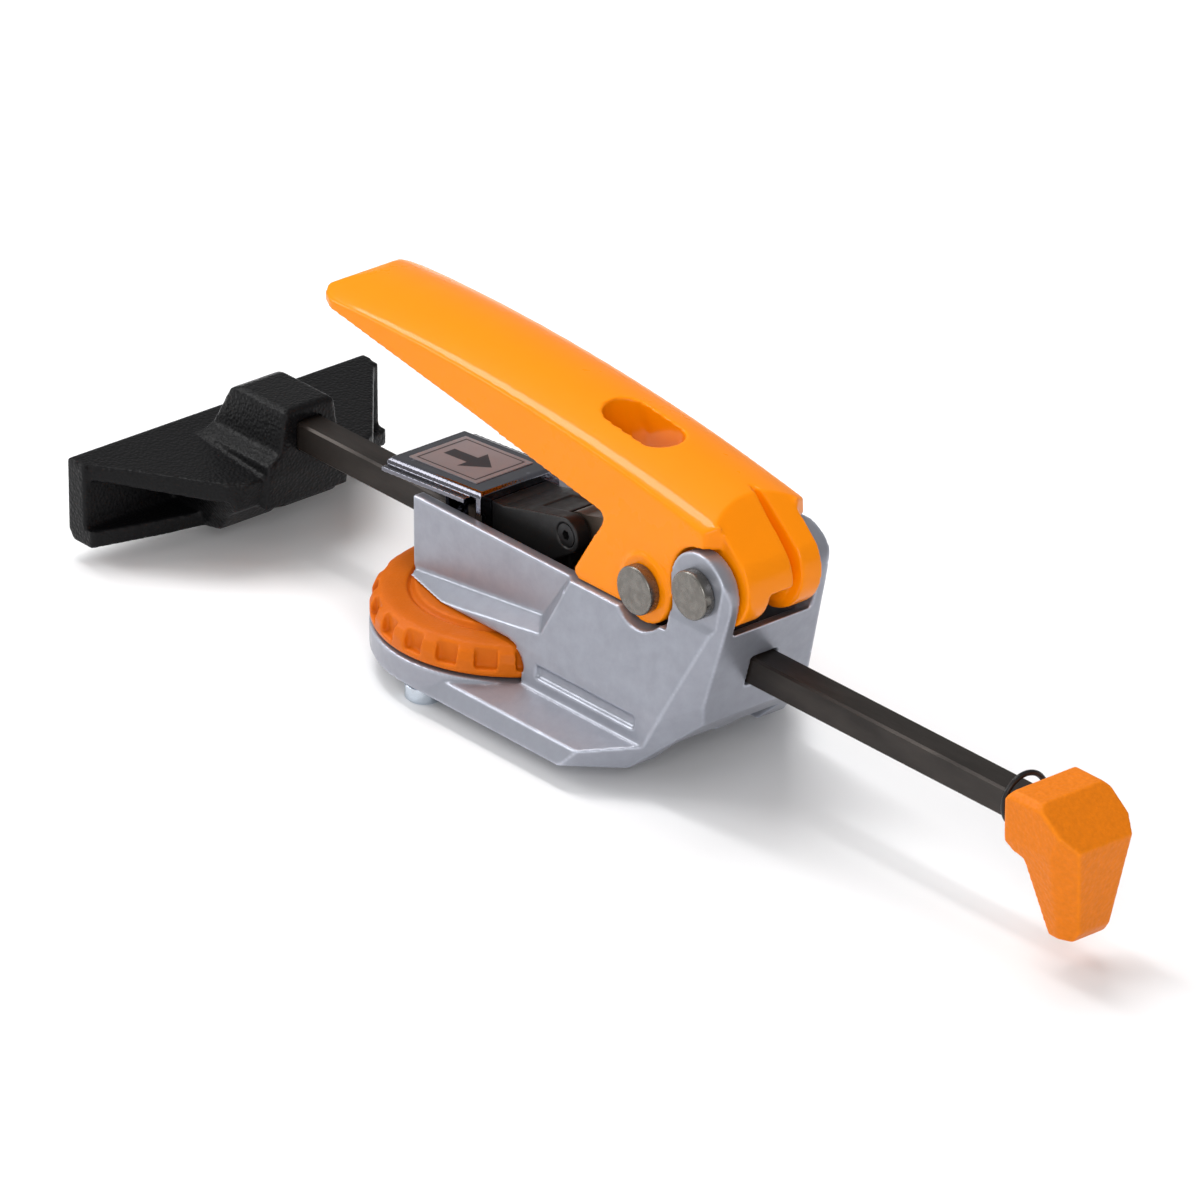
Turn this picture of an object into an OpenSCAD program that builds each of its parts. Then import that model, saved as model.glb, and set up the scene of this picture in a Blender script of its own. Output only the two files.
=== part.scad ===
// T-track push clamp with a toggle lever, a self-adjusting push bar and a wheel lock.
// Millimetres, +Z up, +X from the jaw to the rear knob.
// Origin: thumb wheel axis on the bottom plane of the base.

/* [Base] */
// radius of the round front of the base
base_r = 38.4; // [37:0.2:42]
// height of the wheel seat above the track
seat_z = 7; // [6.4:0.2:8]
// length of the straight base sides behind the wheel axis
base_side_len = 61; // [56:0.5:64]
// where the base bottom ends behind the wheel axis
base_end_x = 73.3; // [70:0.5:76]
// half width of the base at its rear end
base_end_y = 26.1; // [24:0.5:30]

/* [Walls] */
// half width over the ears
wall_y = 17.6; // [17.4:0.1:18.2]
// half width over the recessed front panels
panel_y = 17.7; // [17.2:0.1:18]
// half width of the inner channel
chan_y = 14.3; // [14.1:0.1:14.6]
// top of the side walls
wall_top_z = 39; // [37.5:0.1:39.2]
// front end of the side walls, ahead of the wheel axis
wall_front = 21; // [17:0.5:24]
// floor of the inner channel
deck_z = 20.3; // [19.9:0.1:20.8]
// thickness of the rear wall along the bar
rear_wall_t = 5; // [4:0.25:6]
// top of the rear wall between the ears
rear_top_z = 42.6; // [40:0.2:43]

/* [Pivots] */
// lever pivot behind the wheel axis
pivot_x = 90.4; // [89.8:0.1:91]
// lever pivot height
pivot_z = 52.8; // [52.5:0.1:53.4]
// link pin behind the wheel axis
link_x = 69.5; // [69:0.1:69.9]
// link pin height
link_z = 46.4; // [46.1:0.1:46.8]
// clevis pin behind the wheel axis
clevis_x = 29.4; // [28.6:0.1:30.2]
// clevis pin height
clevis_z = 43.4; // [43:0.1:43.8]
// radius of the ears around the lever pivot
ear_r = 10.5; // [9.5:0.1:10.8]
// radius of the two large pins
pin_r = 4; // [3.5:0.1:4.5]
// radius of the heads of the two large pins
pin_head_r = 6.5; // [6:0.1:6.8]
// thickness of the heads of the two large pins
pin_head_t = 3.4; // [2.8:0.1:4]
// radius of the clevis pin
clevis_pin_r = 2.5; // [2:0.1:2.8]
// free radial play of a pin in a turning part
pin_play = 0.1; // [0.06:0.01:0.1]

/* [Lever] */
// length of the lever ahead of the wheel axis
lever_front = 63; // [61:0.2:65]
// highest point of the lever
lever_top_z = 85; // [84.4:0.1:85.6]
// radius of the long arch of the lever
lever_arch_r = 671; // [640:1:700]
// radius of the crown across the lever
lever_crown_r = 34.8; // [33:0.2:38]
// half width of the lever
lever_half = 16.2; // [15.8:0.1:16.3]
// lean of each lever side
lever_draft = 0.036; // [0.02:0.001:0.036]
// wall thickness of the lever
lever_wall = 3.4; // [3:0.1:3.8]
// radius of the cheek lobe around the link pin
lobe_r = 9.6; // [9:0.1:10]
// radius of the lever hub around the pivot
hub_r = 10.4; // [9.8:0.1:10.8]
// radius of the two hub lobes
hub_lobe_r = 12.2; // [11.8:0.1:12.4]
// direction of the slope down to the hub, from the level
hub_slope = 47.7; // [46:0.1:49]
// opening angle of the lever
lever_swing = 65; // [60:0.5:66]
// length of the slot through the lever
slot_len = 25; // [20:0.5:28]
// width of the slot through the lever
slot_w = 13; // [10:0.5:15]

/* [Bar] */
// side of the square bar
bar_side = 8; // [7:0.1:8.2]
// height of the bar axis
bar_z = 28.1; // [27.9:0.1:28.4]
// how far the bar goes into the rear knob
knob_seat = 12; // [9:0.5:15]
// how far the bar goes into the jaw hub
jaw_seat = 21.5; // [18:0.5:22.5]
// free play around the bar in the body and carriage
bar_play = 0.4; // [0.35:0.05:0.45]
// flat chamfer on the bar edges
bar_edge = 0.6; // [0.3:0.1:0.9]

/* [Jaw] */
// front face of the jaw, ahead of the wheel axis
jaw_front = 124.2; // [122:0.2:127]
// half width of the jaw
jaw_half = 49.5; // [44:0.5:56]
// height of the jaw plate
jaw_h = 22.3; // [21:0.1:23.4]
// thickness of the jaw front plate
jaw_plate_t = 7; // [5.5:0.25:8]
// rear end of the jaw hub, ahead of the wheel axis
jaw_rear = 84.5; // [82:0.25:87]
// lowest point of the jaw
jaw_low_z = -1; // [-1.6:0.1:0.4]
// top of the jaw hub
jaw_hub_z = 36.6; // [35.6:0.1:37.4]

/* [Knob] */
// front face of the rear knob behind the wheel axis
knob_x = 197; // [195:0.5:198]
// length of the rear knob
knob_len = 24.4; // [22:0.1:27]
// half width of the rear knob
knob_half = 11.5; // [10:0.1:12]
// top of the rear knob
knob_top_z = 37.7; // [36.5:0.1:38.5]
// lowest point of the rear knob
knob_low_z = 0.9; // [0.3:0.1:2.5]

/* [Carriage] */
// front end of the carriage cover, ahead of the wheel axis
cover_front = 37; // [35:0.25:38]
// half width of the carriage cover
cover_half = 13.2; // [12.8:0.1:13.5]
// sheet thickness of the carriage cover
cover_t = 1.6; // [1.2:0.1:2]
// height of the cover top at its front
cover_front_z = 42.6; // [42.2:0.1:43]
// height of the cover top at its rear
cover_rear_z = 45.6; // [45:0.1:46]
// thickness of a grip plate
grip_t = 2.6; // [2.2:0.1:2.8]
// lean of the grip plates while they grip the bar
grip_lean = 3; // [2:0.25:4]
// wire radius of the grip spring
spring_wire_r = 0.6; // [0.5:0.05:0.65]
// mean coil radius of the grip spring
spring_r = 6.5; // [6.3:0.05:6.6]

/* [Wheel lock] */
// how far the wheel rim lies inside the base edge
wheel_inset = 0.1; // [0:0.1:1.4]
// height of the thumb wheel
wheel_h = 9.2; // [8.8:0.1:9.4]
// number of finger notches on the wheel
wheel_notches = 22; // [16:1:24]
// radius of the wheel insert
insert_r = 8; // [7.2:0.1:9]
// radius of the draw stud
stud_r = 5; // [4.5:0.1:5.5]
// thread pitch of the draw stud
stud_pitch = 1.5; // [1:0.25:2]
// distance of each track bolt axis from the base edge
tbolt_inset = 6.9; // [6.9:0.1:9.5]
// radius of the track bolt shank
tbolt_r = 3; // [2.5:0.1:3.2]
// diameter of the track bolt head
tbolt_head_d = 10.2; // [9:0.1:10.2]
// height of the track bolt head
tbolt_head_h = 4.6; // [4:0.1:5.4]
// gap between the track bolt head and the base
tbolt_gap = 1.6; // [1.2:0.1:3]
// thickness of the draw yoke
yoke_t = 3.8; // [3.2:0.1:4]
// half width of the draw yoke along the bar
yoke_half = 6.5; // [5.8:0.1:7]

/* [Hidden] */
$fn = 64;

pivot = [pivot_x, pivot_z];
lobe = pivot + [0.6, 1.6];
linkp = [link_x, link_z];
clevis = [clevis_x, clevis_z];
pocket_r = base_r + 0.8;
wheel_r = base_r - wheel_inset;
tbolt_y = base_r - tbolt_inset;
washer_t = 0.6;
wheel_z = seat_z + washer_t + 0.1;
slot_top = wheel_z + wheel_h + 0.4;
bar_hole = bar_side + 2 * bar_play;
bar_rear = knob_x + knob_seat;
bar_front = jaw_rear + jaw_seat;
head_face_y = wall_y + pin_head_t;
ear_in = wall_y - 4.7;
hub_half = ear_in - 0.8;
rear_lean = 0.262;
rear_x0 = 92.1;
rear_z0 = 20.5;
under_z = 15.4;
rear_low_x = rear_x0 - (rear_z0 - under_z) * rear_lean;
foot_y = 25;
steel = [0.42, 0.42, 0.43];
dark = [0.16, 0.15, 0.14];
orange = [0.95, 0.55, 0.08];
silver = [0.62, 0.63, 0.66];

// rear wall face at a height
function rear_x(z) = rear_x0 + (z - rear_z0) * rear_lean;

// toggle geometry, angles in degrees in the side view
arm_len = norm(linkp - pivot);
arm_rest = atan2(link_z - pivot_z, link_x - pivot_x);
rod_len = norm(linkp - clevis);
rod_rest = atan2(link_z - clevis_z, link_x - clevis_x);
function link_at(t) = pivot + arm_len * [cos(arm_rest - t), sin(arm_rest - t)];
function rod_dx(t) = sqrt(rod_len * rod_len - pow(link_at(t)[1] - clevis_z, 2));
stroke = link_at(lever_swing)[0] - rod_dx(lever_swing) - clevis_x;
rod_swing = asin((link_at(lever_swing)[1] - clevis_z) / rod_len) - rod_rest;
// link pin seen from the link while all parts move in proportion
function spin(p, a) = [p[0] * cos(a) - p[1] * sin(a), p[0] * sin(a) + p[1] * cos(a)];
function eye_at(f) =
    clevis + spin(link_at(f * lever_swing) - clevis - [f * stroke, 0], -f * rod_swing);

module along_x(x0, x1) {
    translate([x0, 0, 0])
        rotate([90, 0, 90])
            linear_extrude(x1 - x0)
                children();
}

module across_y(y0, y1) {
    translate([0, y1, 0])
        rotate([90, 0, 0])
            linear_extrude(y1 - y0)
                children();
}

module both_sides() {
    children();
    mirror([0, 1, 0])
        children();
}

// half space on the side of p that n points to
module beyond(p, n, s = 300) {
    u = n / norm(n);
    translate(p)
        rotate([0, acos(u[2]), atan2(u[1], u[0])])
            translate([-s / 2, -s / 2, 0])
                cube(s);
}

module y_rod(p, r, y0, y1) {
    translate([p[0], y1, p[1]])
        rotate([90, 0, 0])
            cylinder(r = r, h = y1 - y0);
}

module x_bar_hole(x0, x1) {
    translate([x0, -bar_hole / 2, bar_z - bar_hole / 2])
        cube([x1 - x0, bar_hole, bar_hole]);
}

// side view of the casting
module body_side() {
    polygon([[-wall_front, deck_z - 1], [-wall_front, wall_top_z], [pivot_x - ear_r + 0.1, wall_top_z],
        [pivot_x - ear_r + 0.1, pivot_z - 2], [pivot_x - ear_r, pivot_z],
        [pivot_x + ear_r, pivot_z], [pivot_x + ear_r - 0.4, pivot_z - 3],
        [rear_x(pivot_z - 9) + 0.6, pivot_z - 9], [rear_x(rear_z0), rear_z0], [rear_low_x, under_z],
        [base_end_x, 0], [-4, 0], [-4, slot_top], [1.6 - wall_front, slot_top]]);
    translate(pivot)
        circle(r = ear_r);
}

// cross view of the casting walls
module body_cross() {
    polygon([[-foot_y, 0], [foot_y, 0], [foot_y, seat_z + 0.4], [foot_y - 0.8, slot_top],
        [wall_y + 0.9, pivot_z - 10], [wall_y, pivot_z - 8], [wall_y, 90],
        [-wall_y, 90], [-wall_y, pivot_z - 8], [-wall_y - 0.9, pivot_z - 10],
        [0.8 - foot_y, slot_top], [-foot_y, seat_z + 0.4]]);
}

// cross view of the base flange
module flange_cross() {
    polygon([[-base_r, 0], [base_r, 0], [base_r - 2.2, seat_z - 2], [foot_y, seat_z + 0.4],
        [-foot_y, seat_z + 0.4], [2.2 - base_r, seat_z - 2]]);
}

module flange_plan() {
    circle(r = base_r);
    translate([0, -base_r])
        square([110, 2 * base_r]);
}

module panel_cut() {
    a = [-wall_front, -panel_y, deck_z - 1.9];
    b = [30.5, -panel_y, deck_z + 4];
    c = [35, -wall_y - 4.6, deck_z + 2.4];
    d = [40.6, -panel_y, wall_top_z - 0.8];
    intersection() {
        translate([-80, -wall_y - 10, 0])
            cube([200, wall_y + 10 - panel_y, 100]);
        beyond(a, -cross(b - a, c - a));
        beyond(d, cross(b - d, c - d));
    }
}

corner_a = [base_side_len, -base_r, 0];
corner_b = [base_end_x, -base_end_y, 0];
corner_c = [rear_low_x, -16, under_z];

module body() {
    color(silver)
    difference() {
        union() {
            intersection() {
                across_y(-40, 40)
                    body_side();
                along_x(-60, 130)
                    body_cross();
            }
            intersection() {
                linear_extrude(40)
                    flange_plan();
                along_x(-60, 130)
                    flange_cross();
            }
            cylinder(r = base_r, h = seat_z);
        }
        // sloped underside and cut rear corners
        beyond([base_end_x, 0, 0], [under_z, 0, base_end_x - rear_low_x]);
        both_sides()
            beyond(corner_a, cross(corner_b - corner_a, corner_c - corner_a));
        // bevelled rear corners
        both_sides()
            beyond([rear_x(21) - 2.2, -wall_y - 1.6, 21], [0.645, -0.764, -0.14]);
        // inner channel, open above the rear wall
        across_y(-chan_y, chan_y)
            polygon([[-60, deck_z], [78, deck_z], [78, 120], [-60, 120]]);
        across_y(-ear_in, ear_in)
            polygon([[-60, deck_z], [rear_x(deck_z) - rear_wall_t, deck_z],
                [rear_x(rear_top_z) - rear_wall_t, rear_top_z], [160, rear_top_z], [160, 120], [-60, 120]]);
        // scoop in the rear wall for the hub lobes
        y_rod(pivot, hub_lobe_r + 1, -hub_half - 0.5, hub_half + 0.5);
        // valley under the lever cheek
        y_rod(linkp, lobe_r + 1.2, -40, 40);
        // recessed front panels
        both_sides()
            panel_cut();
        // wheel pocket and stud hole
        rotate_extrude($fn = 96)
            polygon([[0, seat_z], [pocket_r, seat_z], [pocket_r, slot_top - 5],
                [pocket_r - 1, slot_top - 2.6], [pocket_r - 3.2, slot_top - 0.7], [pocket_r - 5.4, slot_top],
                [0, slot_top]]);
        translate([0, 0, -1])
            cylinder(r = stud_r + 0.5, h = seat_z + 2);
        // pocket for the draw yoke
        intersection() {
            translate([-yoke_half - 0.6, -base_r, -1])
                cube([2 * yoke_half + 1.2, 2 * base_r, seat_z - 1.1]);
            translate([0, 0, -2])
                cylinder(r = base_r - 1.7, h = 20);
        }
        // hollow underside with a middle web
        both_sides()
            translate([44, 3, -1])
                cube([38, 14, 14.5]);
        translate([44, -4, -1])
            cube([45, 8, 6.8]);
        // side plaques
        both_sides()
            intersection() {
                translate([36, -foot_y - 10, seat_z + 3.8])
                    cube([38, 14, 3.4]);
                along_x(0, 200)
                    polygon([[-foot_y - 9, seat_z], [1.1 - foot_y, seat_z + 0.4], [1.9 - foot_y, slot_top],
                        [-foot_y - 9, slot_top]]);
            }
        // bar hole and pivot bore
        x_bar_hole(60, 130);
        y_rod(pivot, pin_r, -60, 60);
    }
}

module headed_pin(p, y_face, y_end) {
    y_rod(p, pin_head_r, y_face, y_face + pin_head_t);
    y_rod(p, pin_r, y_face + pin_head_t, y_end);
}

module push_clip(p, y0) {
    difference() {
        union() {
            y_rod(p, pin_r + 1.8, y0, y0 + 0.7);
            y_rod(p, pin_r + 0.9, y0 + 0.7, y0 + 1.6);
        }
        y_rod(p, pin_r, y0 - 1, y0 + 3);
    }
}

module pivot_pin() {
    color(steel)
        headed_pin(pivot, -head_face_y, wall_y + 2.4);
}

module pivot_clip() {
    color([0.75, 0.75, 0.76])
        push_clip(pivot, wall_y);
}

module seat_washer() {
    color(steel)
    difference() {
        translate([0, 0, seat_z])
            cylinder(r = insert_r + 5, h = washer_t);
        translate([0, 0, seat_z - 1])
            cylinder(r = stud_r + 0.5, h = 4);
    }
}

// section of the lever arch: distance from the arch centre across the width
module arch_cross(drop) {
    top = lever_arch_r - drop;
    translate([top - lever_crown_r, 0])
        circle(r = lever_crown_r);
    translate([top - 80, -40])
        square([66, 80]);
}

module arch(drop) {
    translate([-36.4, 0, lever_top_z - lever_arch_r])
        rotate([90, 0, 0])
            rotate_extrude($fn = 480)
                intersection() {
                    arch_cross(drop);
                    translate([1, -60])
                        square([lever_arch_r + 20, 120]);
                }
}

// side view of the lever
module lever_side() {
    t = -lever_front;
    polygon([[t - 1, 78.8], [-55, 78.4], [0, 69.5], [30, 64.4], [51.8, 60.6], [52.8, 59], [52.2, 57.2],
        [42.4, wall_top_z + 3], [42.4, wall_top_z + 1.2], [43.8, wall_top_z + 0.5],
        [link_x, wall_top_z + 0.5], [link_x + lobe_r, link_z], [pivot_x - 8, pivot_z],
        [pivot_x + 4.4, pivot_z + 8], [pivot_x + 5.2, 100], [t + 20, 100], [t + 10, lever_top_z + 0.4],
        [t + 4, lever_top_z - 1.1], [t + 1, lever_top_z - 2.9], [t - 1, lever_top_z - 5.2]]);
    translate(linkp)
        circle(r = lobe_r);
}

// plan of the lever: rounded front end and bevelled rear end
module lever_plan(inset) {
    t = inset - lever_front;
    w = lever_half - inset;
    polygon([[t, -w / 2], [t + 0.8, 5.2 - w], [t + 3, 2 - w], [t + 6.5, 0.4 - w], [t + 10, -w - 0.4],
        [t + 14, -30], [pivot_x - 7, -30], [pivot_x + 3, -hub_half], [140, -hub_half], [140, hub_half],
        [pivot_x + 3, hub_half], [pivot_x - 7, 30], [t + 14, 30], [t + 10, w + 0.4], [t + 6.5, w - 0.4],
        [t + 3, w - 2], [t + 0.8, w - 5.2], [t, w / 2]]);
}

// everything outside the two leaning lever sides
module beyond_sides(inset) {
    both_sides()
        beyond([0, inset - lever_half, lever_top_z - 9], [0, -1, lever_draft]);
}

module lever_form() {
    difference() {
        intersection() {
            arch(0);
            across_y(-40, 40)
                lever_side();
            linear_extrude(130)
                lever_plan(0);
        }
        beyond_sides(0);
    }
}

module lever_hollow() {
    difference() {
        intersection() {
            arch(lever_wall);
            across_y(-40, 40)
                polygon([[3 - lever_front, 20], [3 - lever_front, lever_top_z - 9], [8 - lever_front, 120],
                    [pivot_x - 9, 120], [pivot_x - 9, 62], [pivot_x - 12, 20]]);
            linear_extrude(130)
                lever_plan(lever_wall);
        }
        beyond_sides(lever_wall);
    }
}

module slot_plan(rim) {
    translate([49, 0]) {
        square([slot_len - slot_w, slot_w + 2 * rim], center = true);
        translate([(slot_len - slot_w) / 2, 0])
            circle(d = slot_w + 2 * rim);
        translate([-(slot_len - slot_w) / 2, 0])
            circle(d = slot_w + 2 * rim);
    }
}

// hub lobe and the block above it, from the side
module hub_side() {
    translate(lobe)
        circle(r = hub_lobe_r);
    translate(lobe)
        rotate(hub_slope)
            translate([hub_lobe_r - 16, 0])
                square([18, 16]);
}

// everything above the slope down to the lobes, from the side
module above_slope() {
    translate(lobe)
        rotate(hub_slope)
            translate([hub_lobe_r - 0.25, -8])
                square([20, 36]);
}

// section of the groove over the hub: distance from the pivot across the width
module groove_cross() {
    polygon([[hub_r - 1.8, 3.7], [hub_r - 1.8, 4.5], [hub_r + 5.2, 6.2], [hub_r + 14, 8.5],
        [hub_r + 14, 0.4], [hub_r + 5.2, 1.9]]);
}

// underside of the hub's middle, cut short above the rear wall
module hub_short() {
    across_y(-4.7, 4.1)
        translate(pivot)
            rotate(-57.3)
                translate([6.8, -13])
                    square([12, 30]);
}

// groove round the rear of the hub, running out up the slope
module hub_groove() {
    turn = hub_slope - 9;
    translate([pivot_x, 0, pivot_z]) {
        rotate([0, -turn, 0])
            translate([-0.05, 0, -4])
                linear_extrude(30)
                    groove_cross();
        difference() {
            rotate([-90, 0, 0])
                rotate_extrude($fn = 96)
                    groove_cross();
            beyond([0, 0, 0], [-sin(turn), 0, cos(turn)]);
            translate([-64, -20, -60])
                cube([60, 40, 60]);
        }
    }
}

module lever() {
    color(orange)
    difference() {
        union() {
            difference() {
                lever_form();
                lever_hollow();
            }
            // bosses round the link pin
            both_sides()
                y_rod(linkp, lobe_r - 0.8, wall_y - 3, wall_y);
            // collar round the slot
            intersection() {
                arch(0.5);
                translate([0, 0, lever_top_z - 17.5])
                    linear_extrude(30)
                        slot_plan(2.2);
            }
            // hub between the ears
            y_rod(pivot, hub_r, -hub_half, hub_half);
            intersection() {
                arch(0.2);
                across_y(-hub_half, hub_half)
                    hub_side();
            }
        }
        // room for the ears
        both_sides()
            union() {
                y_rod(pivot, ear_r + 0.8, hub_half, 40);
                translate([pivot_x - 3, hub_half, 30])
                    cube([40, 40, pivot_z - 30 + 4]);
            }
        across_y(-hub_half - 0.4, hub_half + 0.4)
            above_slope();
        hub_groove();
        hub_short();
        translate([0, 0, 60])
            linear_extrude(40)
                slot_plan(0);
        // room for the link eye
        across_y(-link_side_half - 0.6, link_side_half + 0.6)
            polygon([[link_x, wall_top_z - 6], [pivot_x - pin_r - 3, wall_top_z - 6],
                [pivot_x - pin_r - 3, pivot_z + 7], [link_x, pivot_z + 10]]);
        y_rod(pivot, pin_r + pin_play, -60, 60);
        y_rod(linkp, pin_r, -60, 60);
    }
}

module pivot_bushes() {
    color([0.75, 0.6, 0.35])
    both_sides()
        difference() {
            y_rod(pivot, pin_r + 3.4, hub_half, ear_in - 0.15);
            y_rod(pivot, pin_r + pin_play, 0, 60);
        }
}

module link_pin() {
    color(steel)
        headed_pin(linkp, -head_face_y, wall_y + 2.4);
}

module link_clip() {
    color([0.75, 0.75, 0.76])
        push_clip(linkp, wall_y);
}

link_half = 4.4;
link_eye_r = 4.9;
link_side_half = 7.5;

module push_link() {
    color([0.3, 0.28, 0.25])
    difference() {
        union() {
            y_rod(clevis, link_eye_r, -link_half, link_half);
            across_y(-link_half, link_half)
                polygon([clevis + [0, -link_eye_r], linkp + [-4, -8.5], linkp + [0, -8.5], linkp + [0, 9.6],
                    linkp + [-9, 9.6], clevis + [2, link_eye_r], clevis + [0, link_eye_r]]);
            y_rod(linkp, 8.5, -link_side_half, link_side_half);
            across_y(-link_side_half, link_side_half)
                polygon([linkp + [-10, -6], linkp + [0, -8.5], linkp + [0, 9.6],
                    linkp + [-8, 9.6], linkp + [-12, 5]]);
            y_rod(linkp + [0, 2.6], 7, -link_side_half, link_side_half);
        }
        y_rod(clevis, clevis_pin_r + pin_play, -60, 60);
        // curved eye that gives the link pin room over the swing
        for (f = [0 : 0.125 : 1])
            y_rod(eye_at(f), pin_r + 0.4, -60, 60);
    }
}

arm_in = link_half + 0.5;
arm_out = arm_in + 4.4;

module carriage() {
    color(dark)
    difference() {
        union() {
            across_y(-arm_out, arm_out)
                polygon([[0.5, deck_z + 2], [11, deck_z + 2], [15, deck_z + 9], [15, 45.2],
                    [5, cover_rear_z - 2.9], [0.5, cover_rear_z - 2.9]]);
            both_sides()
                union() {
                    across_y(arm_in, arm_out)
                        polygon([[11, deck_z + 8], [15, deck_z + 9], clevis + [2.4, -4.25], clevis + [0, 0],
                            clevis + [-1.2, 4.73], [11, 44.3]]);
                    y_rod(clevis, 4.88, arm_in, arm_out);
                }
            // web between the arms, clear of the link eye
            difference() {
                across_y(-arm_in - 0.2, arm_in + 0.2)
                    polygon([[12, deck_z + 9.6], [26, deck_z + 9.6], [26, 47.2], [12, 44.1]]);
                y_rod(clevis, link_eye_r + 0.5, -20, 20);
            }
        }
        x_bar_hole(-10, 40);
        y_rod(clevis, clevis_pin_r, -60, 60);
        both_sides()
            y_rod(clevis, clevis_pin_r + 0.9, arm_out - 0.8, 60);
    }
}

module clevis_pin() {
    color(steel)
    difference() {
        union() {
            y_rod(clevis, clevis_pin_r, -arm_out + 0.8, arm_out - 0.8);
            both_sides()
                y_rod(clevis, clevis_pin_r + 0.6, arm_out - 0.8, arm_out - 0.2);
        }
        // hexagon socket
        translate([clevis_x, -arm_out, clevis_z])
            rotate([-90, 0, 0])
                cylinder(r = 1.4, h = 2.4, $fn = 6);
    }
}

cover_rear = 0.5;
cover_slope = (cover_rear_z - cover_front_z) / (cover_front + cover_rear - 1);
function cover_top(x) = cover_front_z + (x + cover_front - 1) * cover_slope;
lip_z = wall_top_z + 0.4;
function lip_low(x) = lip_z + (x + cover_front) * cover_slope;
lip_x0 = -cover_front + 0.6;
lip_x1 = -3.6;
// where a plane leaning by this angle round the 2 mm bend meets the cover top
function bend_y(tilt) = 2 - 2 * (1 - cos(tilt)) / sin(tilt);
guide_x = -15.5;

module carriage_cover() {
    color([0.25, 0.25, 0.27])
    difference() {
        union() {
            difference() {
                across_y(-cover_half, cover_half)
                    polygon([[-cover_front, lip_z], [-cover_front, cover_front_z - 0.8],
                        [-cover_front + 1, cover_front_z], [cover_rear - 0.8, cover_top(cover_rear - 0.8)],
                        [cover_rear, cover_top(cover_rear) - 0.8], [cover_rear, lip_z],
                        [cover_rear - 2.2, lip_z], [cover_rear - 2.2, lip_low(cover_rear - 2.2)]]);
                // bent edges along both sides
                both_sides()
                    for (tilt = [22.5, 45, 67.5])
                        beyond([-cover_front, bend_y(tilt) - cover_half, cover_front_z],
                            [-cos(tilt) * cover_slope, -sin(tilt), cos(tilt)]);
            }
            both_sides()
                across_y(-cover_half - 2.2, -cover_half + 0.8)
                    polygon([[lip_x0, lip_low(lip_x0)], [lip_x1, lip_low(lip_x1)],
                        [lip_x1, lip_low(lip_x1) + 1.3], [lip_x0, lip_low(lip_x0) + 1.3]]);
        }
        across_y(cover_t - cover_half, cover_half - cover_t)
            polygon([[-cover_front + cover_t, 10], [-cover_front + cover_t, cover_front_z - cover_t],
                [cover_rear - cover_t, cover_top(cover_rear) - cover_t - 0.1], [cover_rear - cover_t, 10]]);
        // relief between side and rear folds
        both_sides()
            translate([cover_rear - 4.1, -cover_half - 5, 30])
                cube([2.4, 5 + cover_t + 0.1, cover_rear_z - 32]);
    }
    // folded plates that carry the bar
    color([0.25, 0.25, 0.27])
    difference() {
        for (x = [guide_x, cover_rear - cover_t])
            translate([x, cover_t - cover_half, deck_z + 2])
                cube([cover_t, 2 * (cover_half - cover_t), cover_top(x) - cover_t - deck_z - 1.9]);
        x_bar_hole(-60, 20);
    }
}

module cover_label() {
    color([0.6, 0.58, 0.58])
    translate([-cover_front + 1, 0, cover_front_z])
        rotate([0, -atan(cover_slope), 0])
            translate([3.5, -9.4, 0])
                cube([27, 18.8, 0.25]);
}

grip_x = cover_rear - cover_t - 0.9;

module grip_plates() {
    color([0.5, 0.5, 0.5])
    translate([grip_x, 0, bar_z])
        rotate([0, -grip_lean, 0])
            for (i = [0, 1])
                translate([-i * (grip_t + 0.4) - grip_t, 0, 0])
                    difference() {
                        translate([0, -10, -5.6])
                            cube([grip_t, 20, 16]);
                        translate([-1, -bar_side / 2 - 0.5, -bar_side / 2 - 0.5])
                            cube([grip_t + 2, bar_side + 1, bar_side + 1]);
                    }
}

spring_x0 = guide_x + cover_t + spring_wire_r + 0.1;
spring_x1 = grip_x - 2 * grip_t - 0.9 - spring_wire_r;
spring_turns = 2;

module grip_spring() {
    n = spring_turns * 12;
    k = 6;
    function ring(i, j) =
        let (a = 360 * i / 12, b = 360 * j / k, rr = spring_r + spring_wire_r * cos(b))
        [spring_x0 + (spring_x1 - spring_x0) * i / n + spring_wire_r * sin(b),
            rr * cos(a), bar_z + rr * sin(a)];
    pts = [for (i = [0 : n]) for (j = [0 : k - 1]) ring(i, j)];
    sides = [for (i = [0 : n - 1]) for (j = [0 : k - 1])
        [i * k + j, i * k + (j + 1) % k, (i + 1) * k + (j + 1) % k, (i + 1) * k + j]];
    caps = [[for (j = [0 : k - 1]) k - 1 - j], [for (j = [0 : k - 1]) n * k + j]];
    color([0.7, 0.7, 0.7])
        polyhedron(points = pts, faces = concat(sides, caps), convexity = 10);
}

module bar() {
    h = bar_side / 2;
    e = bar_edge;
    color([0.14, 0.12, 0.11])
    difference() {
        translate([0, 0, bar_z])
            along_x(-bar_front, bar_rear)
                polygon([[-h, e - h], [e - h, -h], [h - e, -h], [h, e - h],
                    [h, h - e], [h - e, h], [e - h, h], [-h, h - e]]);
        translate([-jaw_rear - 14, 0, 0])
            cylinder(r = 1.5, h = bar_z + 2);
        translate([knob_x + 8, 0, 0])
            cylinder(r = 1.5, h = bar_z + 2);
    }
}

module bar_socket(x0, x1) {
    translate([x0, -bar_side / 2, bar_z - bar_side / 2])
        cube([x1 - x0, bar_side, bar_side]);
}

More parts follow.
